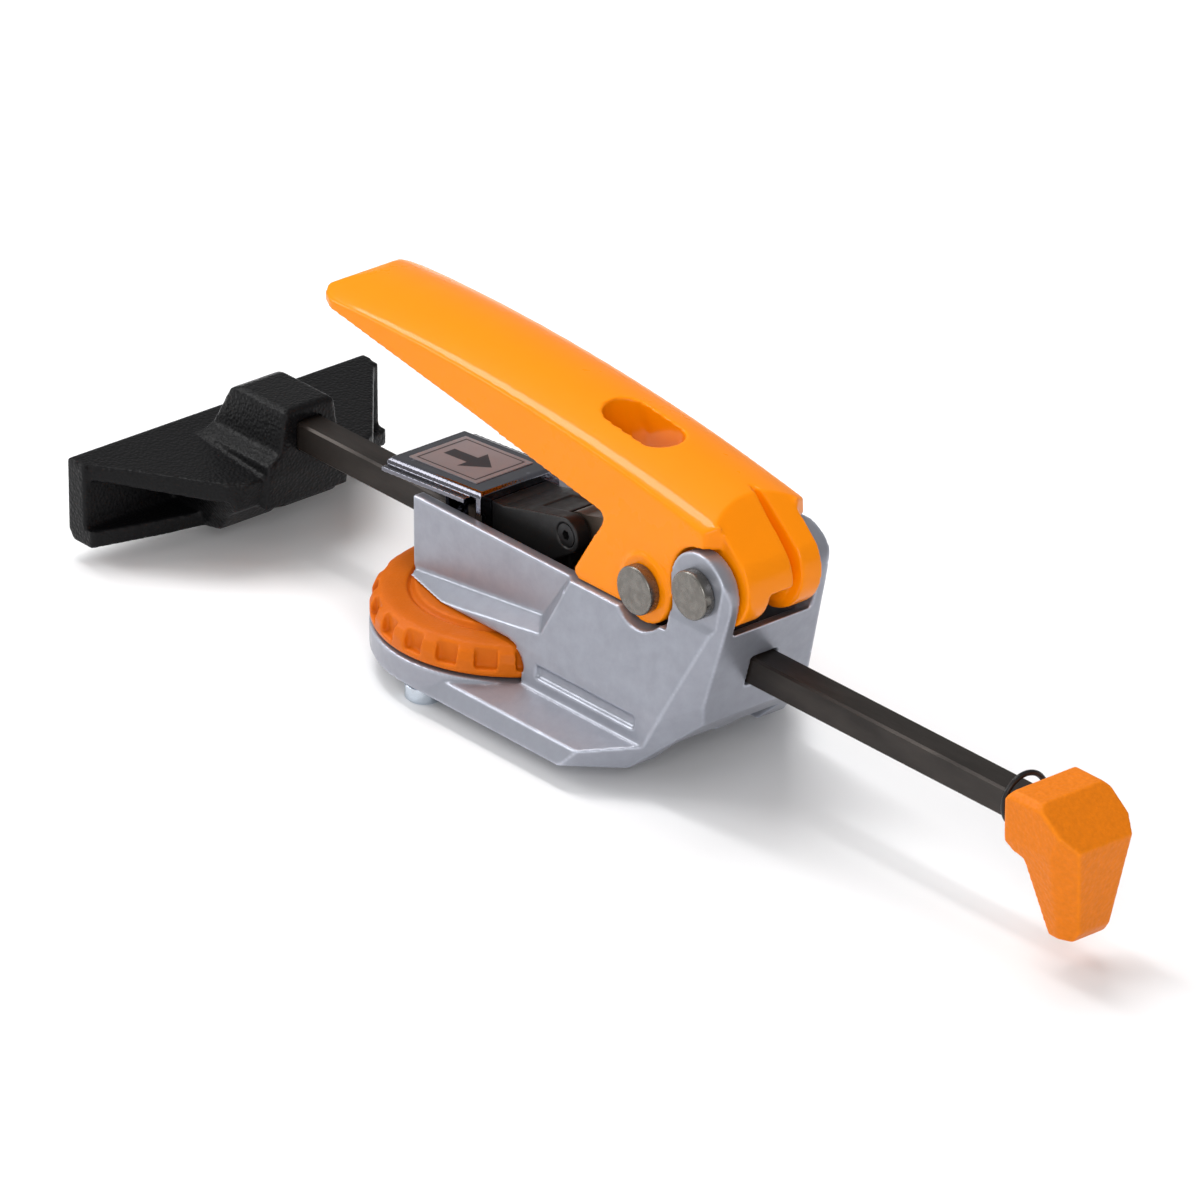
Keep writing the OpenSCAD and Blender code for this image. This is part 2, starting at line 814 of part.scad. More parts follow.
// side view of the jaw core
module jaw_side() {
    f = -jaw_front;
    r = -jaw_rear;
    polygon([[f, jaw_low_z + 2.4], [f + 2, jaw_low_z], [f + 16, jaw_low_z], [r - 14.6, jaw_low_z + 1.7],
        [r - 9.4, 7], [r - 3.4, 10.8], [r - 1.6, jaw_h - 3.6], [f + 1, jaw_h], [f, jaw_h - 1]]);
}

module jaw() {
    f = -jaw_front;
    r = -jaw_rear;
    color([0.07, 0.07, 0.08])
    difference() {
        union() {
            // front plate
            intersection() {
                translate([f, -jaw_half, -5])
                    cube([jaw_plate_t, 2 * jaw_half, 44]);
                across_y(-80, 80)
                    jaw_side();
            }
            // top plate, widening to the hub
            intersection() {
                translate([0, 0, jaw_h - 8.6])
                    linear_extrude(60)
                        polygon([[f, -jaw_half], [f + 5, -jaw_half], [r - 4.6, -24.6], [r - 1.6, -19],
                            [r - 1.6, 19], [r - 4.6, 24.6], [f + 5, jaw_half], [f, jaw_half]]);
                across_y(-80, 80)
                    jaw_side();
                along_x(f - 1, r + 5)
                    polygon([[-jaw_half, jaw_h - 4.8], [-24, jaw_h - 9], [24, jaw_h - 9],
                        [jaw_half, jaw_h - 4.8], [jaw_half, 60], [-jaw_half, 60]]);
            }
            // bottom plate
            intersection() {
                translate([0, 0, -5])
                    linear_extrude(5 + jaw_low_z + 4.6)
                        polygon([[f, -jaw_half], [f + 10, -jaw_half], [f + 19, -17],
                            [f + 19, 17], [f + 10, jaw_half], [f, jaw_half]]);
                across_y(-80, 80)
                    jaw_side();
            }
            // core under the hub
            intersection() {
                along_x(f, r)
                    polygon([[-18.5, -5], [18.5, -5], [20, 5], [24, jaw_h - 7], [24, 40], [-24, 40],
                        [-24, jaw_h - 7], [-20, 5]]);
                across_y(-80, 80)
                    jaw_side();
                linear_extrude(120, center = true)
                    polygon([[f, -28], [r - 7, -28], [r - 4.6, -24.6], [r - 1.6, -19], [r - 1.6, 19],
                        [r - 4.6, 24.6], [r - 7, 28], [f, 28]]);
            }
            // hub round the bar
            intersection() {
                along_x(f + 2, r)
                    polygon([[-13.8, 8], [13.8, 8], [13.8, jaw_h - 0.4], [9.8, jaw_h + 2.3],
                        [8.2, jaw_hub_z - 1.3], [6.9, jaw_hub_z], [-6.9, jaw_hub_z],
                        [-8.2, jaw_hub_z - 1.3], [-9.8, jaw_h + 2.3], [-13.8, jaw_h - 0.4]]);
                across_y(-40, 40)
                    polygon([[f + 2, 9], [r - 2, 9], [r - 0.4, 18], [r, jaw_hub_z - 1.2],
                        [r - 1.2, jaw_hub_z], [r - 20, jaw_hub_z], [r - 23.4, jaw_hub_z - 1.4],
                        [r - 30, jaw_h - 1], [f + 2, jaw_h - 1]]);
            }
        }
        bar_socket(-bar_front, 0);
        translate([r - 14, 0, -2])
            cylinder(r = 1.5, h = bar_z + 4);
    }
}

module jaw_pin() {
    color(steel)
    translate([-jaw_rear - 14, 0, bar_z - 14])
        cylinder(r = 1.5, h = 16);
}

module knob() {
    rear = knob_x + knob_len;
    a = [rear - 4.6, -knob_half, knob_top_z - 6];
    b = [rear, -knob_half + 2.7, knob_top_z - 9.2];
    c = [rear - 4.3, -knob_half + 6.5, knob_low_z + 1];
    color(orange)
    difference() {
        intersection() {
            across_y(-20, 20)
                polygon([[knob_x, knob_top_z - 2.6], [knob_x + 2, knob_top_z], [knob_x + 12, knob_top_z],
                    [rear, knob_top_z - 9.2], [rear - 3.6, knob_low_z + 3],
                    [rear - 5.8, knob_low_z], [knob_x + 11.6, knob_low_z], [knob_x + 6.4, bar_z - 7.4],
                    [knob_x + 2.6, bar_z - 6.4], [knob_x, bar_z - 4.8]]);
            along_x(knob_x - 1, rear + 1)
                polygon([[4.6 - knob_half, knob_low_z], [knob_half - 4.6, knob_low_z],
                    [knob_half, bar_z - 3], [knob_half, knob_top_z - 1.5], [knob_half - 1.5, knob_top_z],
                    [1.5 - knob_half, knob_top_z], [-knob_half, knob_top_z - 1.5], [-knob_half, bar_z - 3]]);
        }
        both_sides()
            beyond(a, cross(c - a, b - a));
        bar_socket(0, bar_rear);
        translate([knob_x + 8, 0, -1])
            cylinder(r = 1.5, h = bar_z + 3);
    }
}

module knob_pin() {
    color(steel)
    translate([knob_x + 8, 0, bar_z - 7])
        cylinder(r = 1.5, h = 9);
}

module stop_ring() {
    hang = 1.1;
    color([0.1, 0.1, 0.1])
    translate([knob_x - 5, 0, bar_z + hang])
        rotate([0, 90, 0])
            difference() {
                rotate_extrude()
                    translate([norm([bar_side / 2 - bar_edge, bar_side / 2 + hang]) + 0.77, 0])
                        circle(r = 0.75);
                translate([2, -2, -3])
                    cube([12, 4, 6]);
            }
}

module thumb_wheel() {
    z = wheel_z;
    h = wheel_h;
    color(orange)
    difference() {
        rotate_extrude($fn = 96)
            polygon([[insert_r, z], [wheel_r - 0.8, z], [wheel_r, z + 0.8], [wheel_r, z + h - 5],
                [wheel_r - 1, z + h - 2.6], [wheel_r - 3, z + h - 1.1], [wheel_r - 4.6, z + h - 0.8],
                [wheel_r - 9.5, z + h - 0.8], [wheel_r - 10.1, z + h - 1.8],
                [wheel_r - 10.9, z + h - 1.8], [wheel_r - 11.7, z + h], [insert_r, z + h]]);
        for (i = [0 : wheel_notches - 1])
            rotate([0, 0, 360 * i / wheel_notches - 3.8])
                translate([wheel_r - 2.2, -3, z + 2.2])
                    cube([6, 6, 20]);
    }
}

module wheel_insert() {
    color([0.72, 0.62, 0.35])
    difference() {
        translate([0, 0, wheel_z])
            cylinder(r = insert_r, h = wheel_h);
        translate([0, 0, wheel_z - 1])
            cylinder(r = stud_r + 0.08, h = wheel_h + 2);
    }
}

yoke_z = seat_z - 2.6 - yoke_t;

module draw_yoke() {
    color(steel)
    difference() {
        intersection() {
            translate([-yoke_half, -base_r, yoke_z])
                cube([2 * yoke_half, 2 * base_r, yoke_t]);
            cylinder(r = base_r - 2.3, h = 20);
        }
        translate([0, 0, -1])
            cylinder(r = stud_r, h = 20);
        both_sides()
            translate([0, -tbolt_y, -1])
                cylinder(r = tbolt_r, h = 20);
    }
}

module draw_stud() {
    color(steel)
    translate([0, 0, yoke_z])
        cylinder(r = stud_r, h = wheel_z + wheel_h - 0.4 - yoke_z);
}

module t_bolts() {
    d = tbolt_head_d;
    h = tbolt_head_h;
    color([0.72, 0.75, 0.78])
    both_sides()
        translate([0, -tbolt_y, 0]) {
            translate([0, 0, -tbolt_gap])
                cylinder(r = tbolt_r, h = tbolt_gap + yoke_z + yoke_t);
            translate([0, 0, -tbolt_gap - h])
                difference() {
                    rotate_extrude()
                        polygon([[0, 0], [d / 2 - 0.7, 0], [d / 2, 0.7], [d / 2, h - 0.3],
                            [d / 2 - 0.3, h], [0, h]]);
                    // driver slot
                    rotate([0, 0, 20])
                        translate([-20, -0.9, -1])
                            cube([40, 1.8, 2.8]);
                }
        }
}

body();
pivot_pin();
pivot_clip();
seat_washer();
lever();
pivot_bushes();
link_pin();
link_clip();
push_link();
carriage();
clevis_pin();
carriage_cover();
cover_label();
grip_plates();
grip_spring();
bar();
jaw();
jaw_pin();
knob();
knob_pin();
stop_ring();
thumb_wheel();
wheel_insert();
draw_yoke();
draw_stud();
t_bolts();
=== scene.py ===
import math

import bpy
from bpy.props import FloatProperty, FloatVectorProperty, IntProperty, PointerProperty
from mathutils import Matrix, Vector


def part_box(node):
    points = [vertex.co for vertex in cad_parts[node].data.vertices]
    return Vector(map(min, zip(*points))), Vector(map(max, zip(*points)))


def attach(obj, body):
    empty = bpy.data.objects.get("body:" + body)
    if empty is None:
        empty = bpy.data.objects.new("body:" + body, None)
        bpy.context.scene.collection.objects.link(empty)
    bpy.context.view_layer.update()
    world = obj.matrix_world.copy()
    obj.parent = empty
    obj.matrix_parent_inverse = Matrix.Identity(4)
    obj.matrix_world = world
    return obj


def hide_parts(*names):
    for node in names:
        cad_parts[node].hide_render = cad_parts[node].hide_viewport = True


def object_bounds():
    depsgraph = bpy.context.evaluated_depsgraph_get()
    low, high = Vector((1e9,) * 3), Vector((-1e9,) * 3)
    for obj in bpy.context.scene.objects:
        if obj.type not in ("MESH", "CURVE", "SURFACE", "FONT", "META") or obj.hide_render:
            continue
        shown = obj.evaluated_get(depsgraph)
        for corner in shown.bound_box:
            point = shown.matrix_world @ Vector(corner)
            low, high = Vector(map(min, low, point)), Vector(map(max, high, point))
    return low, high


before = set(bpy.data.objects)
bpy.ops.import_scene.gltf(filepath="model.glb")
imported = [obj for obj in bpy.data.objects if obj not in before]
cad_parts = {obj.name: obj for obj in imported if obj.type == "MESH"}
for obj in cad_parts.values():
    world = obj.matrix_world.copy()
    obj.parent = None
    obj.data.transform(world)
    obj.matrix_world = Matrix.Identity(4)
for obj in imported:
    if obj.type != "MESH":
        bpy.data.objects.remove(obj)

bl_info = {
    "name": "T-track clamp",
    "version": (1, 0, 0),
    "blender": (4, 5, 0),
    "location": "3D View > Sidebar > Clamp",
    "description": "Dresses the clamp's solids with cast, moulded and steel pieces and sets the stage",
    "category": "Object",
}

MM = 0.001
CAD_BOX = [list(corner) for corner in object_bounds()]

# points closer than this become one
MERGE_GAP = 0.004 * MM
# a point this near to a plane lies on it
ON_PLANE = 0.001 * MM
# sides of a turned pin, and the angle above which its edges stay crisp
PIN_SIDES = 96
CRISP_ANGLE = math.radians(40)
# pointiness of an edge where the lighter edge colour starts and where it is full; the lighter edge is partly
# worn paint and partly a painted highlight
WEAR_AND_HIGHLIGHT_START, WEAR_AND_HIGHLIGHT_FULL = 0.505, 0.56
# upward share of the normal on a level face and on one steep enough for full grain
LEVEL, STEEP = 0.97, 0.7
# colour sockets of a Mix node
MIX_A, MIX_B, MIX_RESULT = 6, 7, 2
# point that the lights are aimed at, in metres
LIT_POINT = Vector((0.03, 0, 0.03))


def colour(name, red, green, blue, description):
    """A colour property whose default is given in the 0 to 255 sRGB values of a colour picker."""
    linear = [((c / 255 + 0.055) / 1.055) ** 2.4 if c > 10 else c / 255 / 12.92 for c in (red, green, blue)]
    return FloatVectorProperty(name=name, description=description, subtype="COLOR", size=4, min=0, max=1,
                               default=(*linear, 1))


def length(name, millimetres, description):
    """A length property whose default is given in millimetres."""
    return FloatProperty(name=name, description=description, subtype="DISTANCE", unit="LENGTH",
                         default=millimetres * MM, min=0)


def angle(name, degrees, description):
    """An angle property whose default is given in degrees."""
    return FloatProperty(name=name, description=description, subtype="ANGLE", default=math.radians(degrees))


def count(name, number, description):
    """A whole-number property."""
    return IntProperty(name=name, description=description, default=number, min=0)


def strength(name, value, description, subtype="NONE"):
    """A light's strength, or its power in watts."""
    return FloatProperty(name=name, description=description, subtype=subtype, default=value, min=0)


class CLAMP_PG_finish(bpy.types.PropertyGroup):
    """Colours of the clamp's finishes."""
    lever_paint: colour("Lever paint", 248, 138, 0, "Gloss paint of the lever")
    wheel_plastic: colour("Wheel plastic", 204, 100, 5, "Moulded plastic of the thumb wheel")
    knob_plastic: colour("Knob plastic", 224, 120, 12, "Moulded plastic of the rear knob")
    casting_paint: colour("Casting paint", 150, 153, 163, "Silver paint of the base casting")
    jaw_plastic: colour("Jaw plastic", 10, 10, 11, "Black plastic of the jaw")
    bar_steel: colour("Bar steel", 50, 44, 40, "Blackened steel of the push bar")
    pin_steel: colour("Pin steel", 122, 119, 114, "Plain steel of the pins, the yoke and the stud")
    bright_steel: colour("Bright steel", 214, 214, 218, "Clips, seat washer and grip spring")
    bolt_zinc: colour("Bolt zinc", 205, 214, 224, "Bluish zinc of the track bolts")
    cover_chrome: colour("Cover chrome", 112, 112, 120, "Black chrome of the carriage cover")
    label_film: colour("Label film", 150, 143, 146, "Plain film on the carriage cover")
    label_ink: colour("Label ink", 48, 45, 50, "Frame and arrow on the film")
    carriage_coat: colour("Carriage coat", 26, 25, 25, "Black coat of the carriage, its pin and the ring")
    link_steel: colour("Link steel", 112, 100, 90, "Oiled steel of the push link and the grip plates")
    bush_bronze: colour("Bush bronze", 196, 160, 96, "Bronze of the bushes and the wheel insert")


class CLAMP_PG_rounding(bpy.types.PropertyGroup):
    """How finely each casting or moulding is rounded, and the turned pins' sizes."""
    casting_grid: length("Casting grid", 0.45, "Grid of the base casting's skin")
    lever_grid: length("Lever grid", 0.5, "Grid of the lever's skin")
    wheel_grid: length("Wheel grid", 0.4, "Grid of the wheel's skin")
    jaw_grid: length("Jaw grid", 0.5, "Grid of the jaw's skin")
    knob_grid: length("Knob grid", 0.4, "Grid of the knob's skin")
    cover_grid: length("Cover grid", 0.2, "Grid of the cover's skin")
    carriage_grid: length("Carriage grid", 0.3, "Grid of the carriage's skin")
    casting_passes: count("Casting passes", 4, "Smoothing of the casting")
    lever_passes: count("Lever passes", 5, "Smoothing of the lever")
    moulding_passes: count("Moulding passes", 6, "Smoothing of the wheel and the carriage")
    knob_passes: count("Knob passes", 12, "Smoothing of the knob")
    jaw_passes: count("Jaw passes", 10, "Smoothing of the jaw")
    cover_passes: count("Cover passes", 4, "Smoothing of the cover")
    most_triangles: count("Most triangles", 170000, "A skin with more is thinned to this number")
    pin_head: length("Pin head", 3.4, "Thickness of a pin head")
    pin_shoulder: length("Pin shoulder", 2.5, "How far a pin head stands out from its shank")
    pin_edge: length("Pin edge", 0.7, "Rounded edge of a pin head")


class CLAMP_PG_stage(bpy.types.PropertyGroup):
    """Camera, lights and floor."""
    lens: FloatProperty(name="Lens", description="Focal length in millimetres", default=343.3, min=1)
    distance: length("Distance", 2897.5, "Camera to target")
    azimuth: angle("Azimuth", 49.76, "Camera bearing round the clamp")
    elevation: angle("Elevation", 26.1, "Camera height angle")
    target: FloatVectorProperty(name="Target", description="Point that the camera looks at",
                                subtype="TRANSLATION", default=(31.97 * MM, 0, 23.3 * MM))
    floor_side: length("Floor side", 14000, "Side of the square floor")
    floor_colour: colour("Floor", 246, 246, 247, "Pale floor")
    sky_front: strength("Sky in front", 0.7, "Soft light from the camera side")
    sky_back: strength("Sky behind", 0.25, "Soft light from behind the clamp")
    key: strength("Key", 10, "Broad light above and behind", "POWER")
    strip: strength("Strip", 5, "Narrow light above, along the clamp", "POWER")
    left_fill: strength("Left fill", 10, "Left light", "POWER")
    right_fill: strength("Right fill", 10, "Right light", "POWER")


def activate(piece):
    """Makes one object the only selected and active one."""
    bpy.ops.object.select_all(action="DESELECT")
    piece.select_set(True)
    bpy.context.view_layer.objects.active = piece


def apply_modifier(piece, kind, **settings):
    """Adds a modifier with its settings and applies it."""
    activate(piece)
    modifier = piece.modifiers.new(kind.lower(), kind)
    for key, value in settings.items():
        setattr(modifier, key, value)
    bpy.ops.object.modifier_apply(modifier=modifier.name)


def merged_copy(node, name):
    """A new piece from a copy of a node's mesh, with doubled points merged and faces turned outwards."""
    piece = bpy.data.objects.new(name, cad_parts[node].data.copy())
    bpy.context.scene.collection.objects.link(piece)
    piece.data.materials.clear()
    activate(piece)
    bpy.ops.mesh.customdata_custom_splitnormals_clear()
    bpy.ops.object.mode_set(mode="EDIT")
    bpy.ops.mesh.select_all(action="SELECT")
    bpy.ops.mesh.remove_doubles(threshold=MERGE_GAP)
    bpy.ops.mesh.normals_make_consistent(inside=False)
    bpy.ops.object.mode_set(mode="OBJECT")
    return piece


def rounded_copy(node, name, grid, passes):
    """A copy of a node with the even, rounded skin of a casting or moulding."""
    piece = merged_copy(node, name)
    apply_modifier(piece, "REMESH", mode="VOXEL", voxel_size=grid)
    apply_modifier(piece, "SMOOTH", factor=0.5, iterations=passes)
    most = bpy.context.scene.clamp_rounding.most_triangles
    triangles = sum(len(face.vertices) - 2 for face in piece.data.polygons)
    if triangles > most:
        apply_modifier(piece, "DECIMATE", ratio=most / triangles)
    activate(piece)
    bpy.ops.object.shade_smooth()
    return piece


def dress(piece, node, body, material):
    """Finishes a new piece: its material, its body and the node it stands for."""
    piece.data.materials.clear()
    piece.data.materials.append(material)
    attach(piece, body)
    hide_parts(node)


def coat_nodes(material, *nodes):
    """Gives CAD nodes whose shape stays their material."""
    for node in nodes:
        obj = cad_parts[node]
        if not obj.data.materials:
            obj.data.materials.append(material)
        for place in obj.material_slots:
            place.material = material


def middle(node):
    """Middle of a node's box."""
    low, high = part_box(node)
    return (Vector(low) + Vector(high)) / 2


def add_sockets(group, way, **kinds):
    """Adds inputs or outputs to a node group, with spaces for the underscores of their names."""
    for name, kind in kinds.items():
        group.interface.new_socket(name.replace("_", " "), in_out=way, socket_type="NodeSocket" + kind)


def build_grain(group):
    """Fine moulded grain: a height that changes over the surface."""
    add_sockets(group, "INPUT", Vector="Vector", Scale="Float", Pebble="Float")
    add_sockets(group, "OUTPUT", Height="Float")
    nodes, link = group.nodes, group.links.new
    start = nodes.new("NodeGroupInput")
    end = nodes.new("NodeGroupOutput")
    noise = nodes.new("ShaderNodeTexNoise")
    noise.inputs["Detail"].default_value = 3
    noise.inputs["Roughness"].default_value = 0.55
    pebbles = nodes.new("ShaderNodeTexVoronoi")
    pebbles.feature = "SMOOTH_F1"
    pebbles.inputs["Smoothness"].default_value = 0.6
    mix = nodes.new("ShaderNodeMix")
    for texture in (noise, pebbles):
        link(start.outputs["Vector"], texture.inputs["Vector"])
        link(start.outputs["Scale"], texture.inputs["Scale"])
    link(start.outputs["Pebble"], mix.inputs["Factor"])
    link(noise.outputs["Fac"], mix.inputs["A"])
    link(pebbles.outputs["Distance"], mix.inputs["B"])
    link(mix.outputs["Result"], end.inputs["Height"])


def build_mottle(group):
    """Cloudy change of colour and gloss between two values each, with lighter edges that are partly worn
    paint and partly a painted highlight.
    """
    add_sockets(group, "INPUT", Vector="Vector", Scale="Float", Colour="Color", Shade="Color", Edge="Float",
                Edge_colour="Color", Gloss="Float", Dull="Float")
    add_sockets(group, "OUTPUT", Colour="Color", Roughness="Float")
    nodes, link = group.nodes, group.links.new
    start = nodes.new("NodeGroupInput")
    end = nodes.new("NodeGroupOutput")
    cloud = nodes.new("ShaderNodeTexNoise")
    cloud.inputs["Detail"].default_value = 5
    cloud.inputs["Roughness"].default_value = 0.6
    spread = nodes.new("ShaderNodeMapRange")
    spread.inputs["From Min"].default_value = 0.32
    spread.inputs["From Max"].default_value = 0.68
    tone = nodes.new("ShaderNodeMix")
    tone.data_type = "RGBA"
    rim = nodes.new("ShaderNodeMix")
    rim.data_type = "RGBA"
    polish = nodes.new("ShaderNodeMix")
    link(start.outputs["Vector"], cloud.inputs["Vector"])
    link(start.outputs["Scale"], cloud.inputs["Scale"])
    link(cloud.outputs["Fac"], spread.inputs["Value"])
    link(spread.outputs["Result"], tone.inputs["Factor"])
    link(start.outputs["Colour"], tone.inputs[MIX_A])
    link(start.outputs["Shade"], tone.inputs[MIX_B])
    link(start.outputs["Edge"], rim.inputs["Factor"])
    link(tone.outputs[MIX_RESULT], rim.inputs[MIX_A])
    link(start.outputs["Edge colour"], rim.inputs[MIX_B])
    link(spread.outputs["Result"], polish.inputs["Factor"])
    link(start.outputs["Gloss"], polish.inputs["A"])
    link(start.outputs["Dull"], polish.inputs["B"])
    link(rim.outputs[MIX_RESULT], end.inputs["Colour"])
    link(polish.outputs["Result"], end.inputs["Roughness"])


def build_edge_wear_and_highlight(group):
    """Mask of the lighter edges: partly worn by handling, partly a painted highlight."""
    add_sockets(group, "INPUT", Pointiness="Float", Amount="Float")
    add_sockets(group, "OUTPUT", Wear="Float")
    nodes, link = group.nodes, group.links.new
    start = nodes.new("NodeGroupInput")
    end = nodes.new("NodeGroupOutput")
    wear_and_highlight = nodes.new("ShaderNodeMapRange")
    wear_and_highlight.inputs["From Min"].default_value = WEAR_AND_HIGHLIGHT_START
    wear_and_highlight.inputs["From Max"].default_value = WEAR_AND_HIGHLIGHT_FULL
    link(start.outputs["Pointiness"], wear_and_highlight.inputs["Value"])
    link(start.outputs["Amount"], wear_and_highlight.inputs["To Max"])
    link(wear_and_highlight.outputs["Result"], end.inputs["Wear"])


def build_label_marks(group):
    """Ink of a plain label that spans -1 to 1: a thin frame and an arrow."""
    border_at, border_half = 0.86, 0.025
    shaft_half, shaft_middle, shaft_reach = 0.2, -0.3, 0.35
    head_start, tip, head_slope = 0.04, 0.62, 0.95
    add_sockets(group, "INPUT", Vector="Vector")
    add_sockets(group, "OUTPUT", Ink="Float")
    nodes, link = group.nodes, group.links.new
    split = nodes.new("ShaderNodeSeparateXYZ")
    link(nodes.new("NodeGroupInput").outputs["Vector"], split.inputs["Vector"])

    def calc(operation, *values):
        node = nodes.new("ShaderNodeMath")
        node.operation = operation
        for socket, value in zip(node.inputs, values):
            if isinstance(value, float):
                socket.default_value = value
            else:
                link(value, socket)
        return node.outputs["Value"]

    along, across = split.outputs["X"], calc("ABSOLUTE", split.outputs["Y"])
    border = calc("COMPARE", calc("MAXIMUM", calc("ABSOLUTE", along), across), border_at, border_half)
    shaft = calc("MULTIPLY", calc("LESS_THAN", across, shaft_half),
                 calc("COMPARE", along, shaft_middle, shaft_reach))
    taper = calc("LESS_THAN", across, calc("MULTIPLY", calc("SUBTRACT", tip, along), head_slope))
    head = calc("MULTIPLY", taper, calc("GREATER_THAN", along, head_start))
    ink = calc("MAXIMUM", border, calc("MAXIMUM", shaft, head))
    link(ink, nodes.new("NodeGroupOutput").inputs["Ink"])


def add_group(tree, name, build, **values):
    """Places a node group, built the first time it is needed, with values for its named inputs."""
    group = bpy.data.node_groups.get(name)
    if group is None:
        group = bpy.data.node_groups.new(name, "ShaderNodeTree")
        build(group)
    node = tree.nodes.new("ShaderNodeGroup")
    node.node_tree = group
    for socket, value in values.items():
        node.inputs[socket.replace("_", " ")].default_value = value
    return node


def tinted(base, factor):
    """A colour made darker or lighter."""
    return [min(c * factor, 1) for c in base[:3]] + [1]


def finish(name, base, shade=0.85, cloud=120, gloss=0.3, dull=0.45, metallic=0.0, grain=1500, pebble=0.4,
           depth=0.02, edge=0.0, edge_light=1.4, stretch=(1, 1, 1), coat=0.0, coat_rough=0.1, specular=0.5):
    """A procedural finish: cloudy colour and gloss, edges lightened as worn paint and painted highlight, and
    a fine grain, its depth in millimetres.
    """
    material = bpy.data.materials.new(name)
    material.use_nodes = True
    tree = material.node_tree
    nodes, link = tree.nodes, tree.links.new
    shader = nodes["Principled BSDF"]
    place = nodes.new("ShaderNodeTexCoord")
    turn = nodes.new("ShaderNodeMapping")
    turn.inputs["Scale"].default_value = stretch
    link(place.outputs["Object"], turn.inputs["Vector"])
    mottle = add_group(tree, "Mottled finish", build_mottle, Scale=cloud, Gloss=gloss, Dull=dull, Colour=base,
                       Shade=tinted(base, shade), Edge_colour=tinted(base, edge_light))
    link(turn.outputs["Vector"], mottle.inputs["Vector"])
    # lighter edge colour by pointiness: partly worn paint, partly a painted highlight on the rounded edges
    if edge:
        wear_and_highlight = add_group(tree, "Edge wear", build_edge_wear_and_highlight, Amount=edge)
        link(nodes.new("ShaderNodeNewGeometry").outputs["Pointiness"], wear_and_highlight.inputs["Pointiness"])
        link(wear_and_highlight.outputs["Wear"], mottle.inputs["Edge"])
    fine = add_group(tree, "Moulded grain", build_grain, Scale=grain, Pebble=pebble)
    link(turn.outputs["Vector"], fine.inputs["Vector"])
    bump = nodes.new("ShaderNodeBump")
    bump.inputs["Strength"].default_value = 0.6
    bump.inputs["Distance"].default_value = depth * MM
    link(fine.outputs["Height"], bump.inputs["Height"])
    link(mottle.outputs["Colour"], shader.inputs["Base Color"])
    link(mottle.outputs["Roughness"], shader.inputs["Roughness"])
    link(bump.outputs["Normal"], shader.inputs["Normal"])
    shader.inputs["Metallic"].default_value = metallic
    shader.inputs["Coat Weight"].default_value = coat
    shader.inputs["Coat Roughness"].default_value = coat_rough
    shader.inputs["Specular IOR Level"].default_value = specular
    return material


class CLAMP_OT_casting(bpy.types.Operator):
    """Base casting with rounded edges and silver paint"""
    bl_idname = "clamp.casting"
    bl_label = "Base casting"

    def execute(self, context):
        finishes, rounding = context.scene.clamp_finish, context.scene.clamp_rounding
        # edge and edge_light give lighter edges: partly worn paint, partly a painted highlight
        paint = finish("Silver casting paint", finishes.casting_paint, shade=0.9, cloud=260, gloss=0.3,
                       dull=0.4, metallic=0.55, grain=1300, pebble=0.3, depth=0.03, edge=0.9, edge_light=1.9)
        piece = rounded_copy("body", "base_casting", rounding.casting_grid, rounding.casting_passes)
        dress(piece, "body", "base", paint)
        return {"FINISHED"}


class CLAMP_OT_lever(bpy.types.Operator):
    """Arched lever in gloss paint"""
    bl_idname = "clamp.lever"
    bl_label = "Lever"

    def execute(self, context):
        finishes, rounding = context.scene.clamp_finish, context.scene.clamp_rounding
        paint = finish("Gloss lever paint", finishes.lever_paint, shade=0.96, cloud=40, gloss=0.26, dull=0.32,
                       grain=420, pebble=0.0, depth=0.02, coat=0.28, coat_rough=0.06, specular=0.05)
        piece = rounded_copy("lever", "lever_arm", rounding.lever_grid, rounding.lever_passes)
        dress(piece, "lever", "lever", paint)
        return {"FINISHED"}


